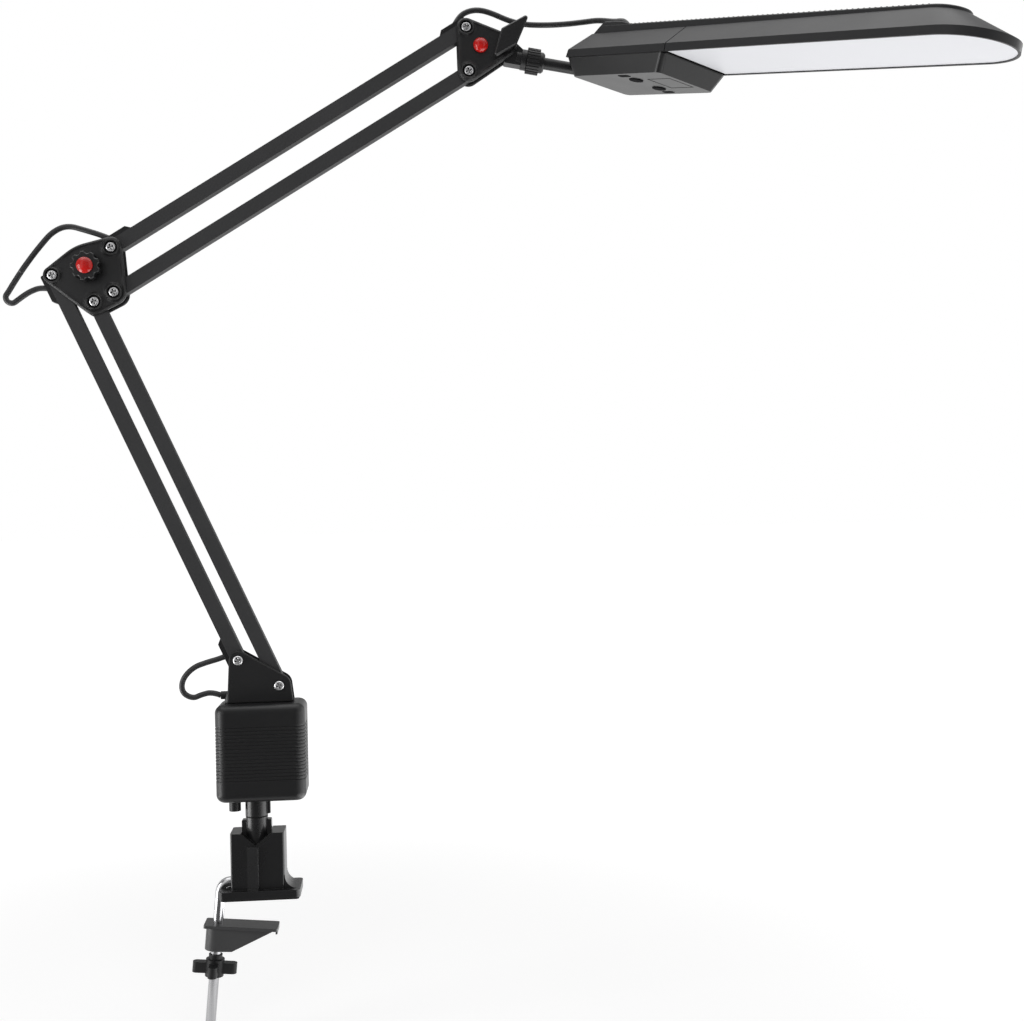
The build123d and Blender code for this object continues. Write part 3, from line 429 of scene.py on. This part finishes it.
# Fine ribs across the spine
rib_first, rib_last, rib_pitch, rib_half = 50.0, 345.0, 5.0, 18.0
rib_profile = [(-0.9, -0.4), (-0.9, 0.1), (-0.5, 0.6), (0.5, 0.6), (0.9, 0.1), (0.9, -0.4)]
rib_bodies = []
for number in range(int((rib_last - rib_first) / rib_pitch) + 1):
    middle = rib_first + number * rib_pitch
    sections = [
        [on_head(middle + dx, across, spine_level(middle) + dz) for dx, dz in rib_profile]
        for across in (-rib_half, rib_half)
    ]
    rib_bodies.append(sections)
ribs = add_mesh("spine_ribs", *joined(rib_bodies), "shade_grey")
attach(ribs, "head")

# A low hump where the cord enters the spine: places across it, each with a share of the height,
# and places along it, each with the height
hump_shape = [(-19.4, -1.0), (-19.4, 0.75), (-18.7, 1.0), (18.7, 1.0), (19.4, 0.75), (19.4, -1.0)]
hump_run = [
    (14.8, 0.1),
    (16.4, 1.6),
    (18.2, 2.9),
    (20.0, 3.2),
    (32.0, 3.2),
    (40.0, 2.4),
    (45.0, 1.2),
    (48.5, 0.1),
]


def hump_level(along, height, share):
    """A share of the hump's height over the spine, or for a share below zero a depth under it."""
    return spine_level(max(along, spine_peak)) + (share * height if share > 0 else share)


sections = [
    [on_head(along, across, hump_level(along, height, share)) for across, share in hump_shape]
    for along, height in hump_run
]
hump = add_mesh("cord_hump", *loft(sections), "shade_grey")
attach(hump, "head")

# Black sheets inside the two slits beside the buttons, as painted shade for the dark inside of the
# slits
slit_along, slit_across = 63.8, 29.6
slit_shade_shape = [
    (-6.2, -1.6),
    (-4.6, -3.2),
    (4.6, -3.2),
    (6.2, -1.6),
    (6.2, 1.6),
    (4.6, 3.2),
    (-4.6, 3.2),
    (-6.2, 1.6),
]
slit_shade_levels = (-15.95, -14.0)
slit_shade_bodies = [
    [
        [on_head(slit_along + dx, side * slit_across + dy, level) for dx, dy in slit_shade_shape]
        for level in slit_shade_levels
    ]
    for side in (-1, 1)
]
slit_shade = add_mesh("slit_shade_sheets", *joined(slit_shade_bodies), "black_moulding")
slit_shade.data.materials[0] = button_black
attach(slit_shade, "head")

# Camera at the photograph's viewpoint
eye = Vector((0.1288, -1.2048, 0.3382))
ahead = Vector((0.0872, 0.9962, 0.0)).normalized()
right = Vector((0.9960, -0.0871, -0.0209)).normalized()
above = right.cross(ahead)
camera_data = bpy.data.cameras.new("camera")
camera_data.lens = 46.83
camera_data.sensor_width = 36.0
camera = bpy.data.objects.new("camera", camera_data)
turn = Matrix((right, above, -ahead)).transposed()
camera.matrix_world = Matrix.Translation(eye) @ turn.to_4x4()
scene.collection.objects.link(camera)
scene.camera = camera

# Stage and light
white = (1, 1, 1, 1)
floor_level = -0.131
floor_reach = 30.0
floor_tone, floor_roughness = 0.4, 0.9
shadow_near, shadow_far, shadow_share = 0.35, 1.5, 0.27
card_lift, light_lift = 0.002, 0.003
ambient_strength = 0.14


def area_light(name, place, target, size, power):
    data = bpy.data.lights.new(name, "AREA")
    data.shape = "RECTANGLE"
    data.size, data.size_y = size
    data.energy = power
    obj = bpy.data.objects.new(name, data)
    obj.location = place
    obj.rotation_euler = (Vector(target) - Vector(place)).to_track_quat("-Z", "Y").to_euler()
    obj.visible_camera = False
    scene.collection.objects.link(obj)
    return obj


def seen_rays(tree):
    """A socket that is 1 for camera, glossy and transmission rays and 0 for the rest."""
    rays = tree.nodes.new("ShaderNodeLightPath").outputs
    direct = combined(tree, "MAXIMUM", rays["Is Camera Ray"], rays["Is Transmission Ray"])
    return combined(tree, "MAXIMUM", direct, rays["Is Glossy Ray"])


def upright(left, right, depth, low, top):
    """Corners of an upright sheet across the view."""
    return [(left, depth, low), (right, depth, low), (right, depth, top), (left, depth, top)]


def flat(left, right, first, last, level):
    """Corners of a level sheet."""
    return [(left, first, level), (right, first, level), (right, last, level), (left, last, level)]


def stage_sheet(name, corners, mat):
    """A sheet of the stage through four corners."""
    mesh = bpy.data.meshes.new(name)
    mesh.from_pydata(corners, [], [(0, 1, 2, 3)])
    mesh.materials.append(mat)
    obj = bpy.data.objects.new(name, mesh)
    scene.collection.objects.link(obj)
    return obj


# The floor is white to the eye, and keeps a soft shadow near the lamp
floor_mat = bpy.data.materials.new("floor")
floor_mat.use_nodes = True
tree = floor_mat.node_tree
shader = tree.nodes["Principled BSDF"]
shader.inputs["Base Color"].default_value = (floor_tone, floor_tone, floor_tone, 1)
shader.inputs["Roughness"].default_value = floor_roughness
shader.inputs["Specular IOR Level"].default_value = 0.0
shader.inputs["Emission Color"].default_value = white
place = tree.nodes.new("ShaderNodeTexCoord")
away = tree.nodes.new("ShaderNodeVectorMath")
away.operation = "LENGTH"
tree.links.new(place.outputs["Object"], away.inputs[0])
fade = ranged(
    tree, away.outputs["Value"], (shadow_near, shadow_far), (1 - shadow_share, 1.0), smooth=True
)
glow = combined(tree, "MULTIPLY", seen_rays(tree), fade)
tree.links.new(glow, shader.inputs["Emission Strength"])
stage_sheet("floor", flat(-floor_reach, floor_reach, -floor_reach, floor_reach, floor_level), floor_mat)

# Dim cards that only reflections see, as a studio's dark sides: each one's strength and corners
front_left, front_right = -0.9, 1.9
front_far, front_near, front_top = -2.2, -0.18, 2.6
front_low = floor_level + card_lift
side_place, side_near, side_far, side_low, side_top = -2.6, -2.2, 1.2, 0.75, 3.2
back_place, back_left, back_right, back_low, back_top = 3.0, -3.0, 4.0, 2.0, 6.0
horizon_low = 0.62
cards = {
    "card_front": (0.16, upright(front_left, front_right, front_far, front_low, front_top)),
    "card_floor": (0.16, flat(front_left, front_right, front_far, front_near, front_low)),
    "card_side": (
        0.3,
        [
            (side_place, side_near, side_low),
            (side_place, side_far, side_low),
            (side_place, side_far, side_top),
            (side_place, side_near, side_top),
        ],
    ),
    "card_back": (0.45, upright(back_left, back_right, back_place, back_low, back_top)),
    "card_horizon": (0.25, upright(back_left, back_right, back_place, horizon_low, back_low)),
}
for name, (strength, corners) in cards.items():
    card_mat = bpy.data.materials.new(name)
    card_mat.use_nodes = True
    tree = card_mat.node_tree
    dim = tree.nodes.new("ShaderNodeEmission")
    dim.inputs["Strength"].default_value = strength
    tree.links.new(dim.outputs["Emission"], tree.nodes["Material Output"].inputs["Surface"])
    card = stage_sheet(name, corners, card_mat)
    card.visible_camera = False
    card.visible_diffuse = False
    card.visible_shadow = False

# The world is white to the eye and dim as a light
world = bpy.data.worlds.new("studio")
scene.world = world
world.use_nodes = True
tree = world.node_tree
ambient = tree.nodes["Background"]
ambient.inputs["Color"].default_value = white
ambient.inputs["Strength"].default_value = ambient_strength
backdrop = tree.nodes.new("ShaderNodeBackground")
backdrop.inputs["Color"].default_value = white
mix = tree.nodes.new("ShaderNodeMixShader")
tree.links.new(seen_rays(tree), mix.inputs["Fac"])
tree.links.new(ambient.outputs["Background"], mix.inputs[1])
tree.links.new(backdrop.outputs["Background"], mix.inputs[2])
tree.links.new(mix.outputs["Shader"], tree.nodes["World Output"].inputs["Surface"])

low_level = floor_level + light_lift
area_light("top", place=(0.1, 0.1, 2.2), target=(0.1, 0.0, 0.5), size=(2.4, 1.6), power=15)
area_light("left", place=(-1.5, -0.6, 0.2), target=(0.0, 0.0, 0.25), size=(0.6, 1.3), power=13)
area_light(
    "left_low", place=(-0.85, -0.2, low_level), target=(-0.85, -0.2, 1.0), size=(0.5, 0.6), power=7
)
area_light("right", place=(1.9, 0.8, 0.3), target=(0.1, 0.0, 0.3), size=(0.5, 1.6), power=6)
area_light("under", place=(0.65, -0.1, low_level), target=(0.65, -0.1, 1.0), size=(1.0, 0.7), power=6.5)
fill = area_light("fill", place=(0.2, -2.4, 1.3), target=(0.1, 0.0, 0.4), size=(2.4, 1.8), power=29)
fill.visible_glossy = False

scene.view_settings.view_transform = "Standard"
